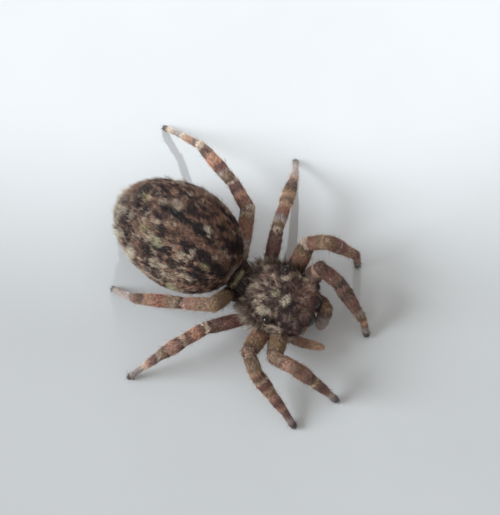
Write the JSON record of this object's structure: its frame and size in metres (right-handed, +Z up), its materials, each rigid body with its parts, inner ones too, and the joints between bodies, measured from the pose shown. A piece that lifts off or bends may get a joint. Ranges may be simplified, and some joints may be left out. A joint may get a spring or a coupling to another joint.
{
  "type": "jumping spider",
  "caption": "Small wall jumping spider with a mottled brown coat and banded legs, standing with its feet spread, as a still life-size model.",
  "frame": {"origin": "the middle of the bounding box in plan, on the ground that the feet stand on", "axes": "+Z up from the ground; the head faces -Y; +X is the spider's own left"},
  "size_m": [0.0074, 0.0076, 0.0025],
  "materials": {
    "abdomen_coat": "short lying hairs, dark brown to purple-black with pinkish-brown and tan locks and cream spots in pairs",
    "carapace_coat": "short grey-brown hairs with pale patches behind the rear eyes and down the middle, darker between the eyes",
    "leg_coat": "reddish-brown with cream rings and dark bands under short hairs, grey feet",
    "underside_coat": "brown cuticle with sparse pale hairs",
    "bare_cuticle": "dark red-brown, glossy, bare",
    "eye": "black, very glossy, clear lens"
  },
  "bodies": {
    "root": {"abdomen": "abdomen_coat", "carapace": "carapace_coat", "chelicera_left": "bare_cuticle", "chelicera_right": "bare_cuticle", "eye_anterior_lateral_left": "eye", "eye_anterior_lateral_right": "eye", "eye_anterior_median_left": "eye", "eye_anterior_median_right": "eye", "eye_posterior_lateral_left": "eye", "eye_posterior_lateral_right": "eye", "eye_posterior_median_left": "eye", "eye_posterior_median_right": "eye", "leg_left_1_femur": "leg_coat", "leg_left_1_metatarsus": "leg_coat", "leg_left_1_patella": "leg_coat", "leg_left_1_tarsus": "leg_coat", "leg_left_1_tibia": "leg_coat", "leg_left_2_femur": "leg_coat", "leg_left_2_metatarsus": "leg_coat", "leg_left_2_patella": "leg_coat", "leg_left_2_tarsus": "leg_coat", "leg_left_2_tibia": "leg_coat", "leg_left_3_femur": "leg_coat", "leg_left_3_metatarsus": "leg_coat", "leg_left_3_patella": "leg_coat", "leg_left_3_tarsus": "leg_coat", "leg_left_3_tibia": "leg_coat", "leg_left_4_femur": "leg_coat", "leg_left_4_metatarsus": "leg_coat", "leg_left_4_patella": "leg_coat", "leg_left_4_tarsus": "leg_coat", "leg_left_4_tibia": "leg_coat", "leg_right_1_femur": "leg_coat", "leg_right_1_metatarsus": "leg_coat", "leg_right_1_patella": "leg_coat", "leg_right_1_tarsus": "leg_coat", "leg_right_1_tibia": "leg_coat", "leg_right_2_femur": "leg_coat", "leg_right_2_metatarsus": "leg_coat", "leg_right_2_patella": "leg_coat", "leg_right_2_tarsus": "leg_coat", "leg_right_2_tibia": "leg_coat", "leg_right_3_femur": "leg_coat", "leg_right_3_metatarsus": "leg_coat", "leg_right_3_patella": "leg_coat", "leg_right_3_tarsus": "leg_coat", "leg_right_3_tibia": "leg_coat", "leg_right_4_femur": "leg_coat", "leg_right_4_metatarsus": "leg_coat", "leg_right_4_patella": "leg_coat", "leg_right_4_tarsus": "leg_coat", "leg_right_4_tibia": "leg_coat", "palp_left": "carapace_coat", "palp_right": "carapace_coat", "pedicel": "underside_coat", "spinnerets": "underside_coat", "sternum_and_coxae": "underside_coat"}
  },
  "joints": []
}
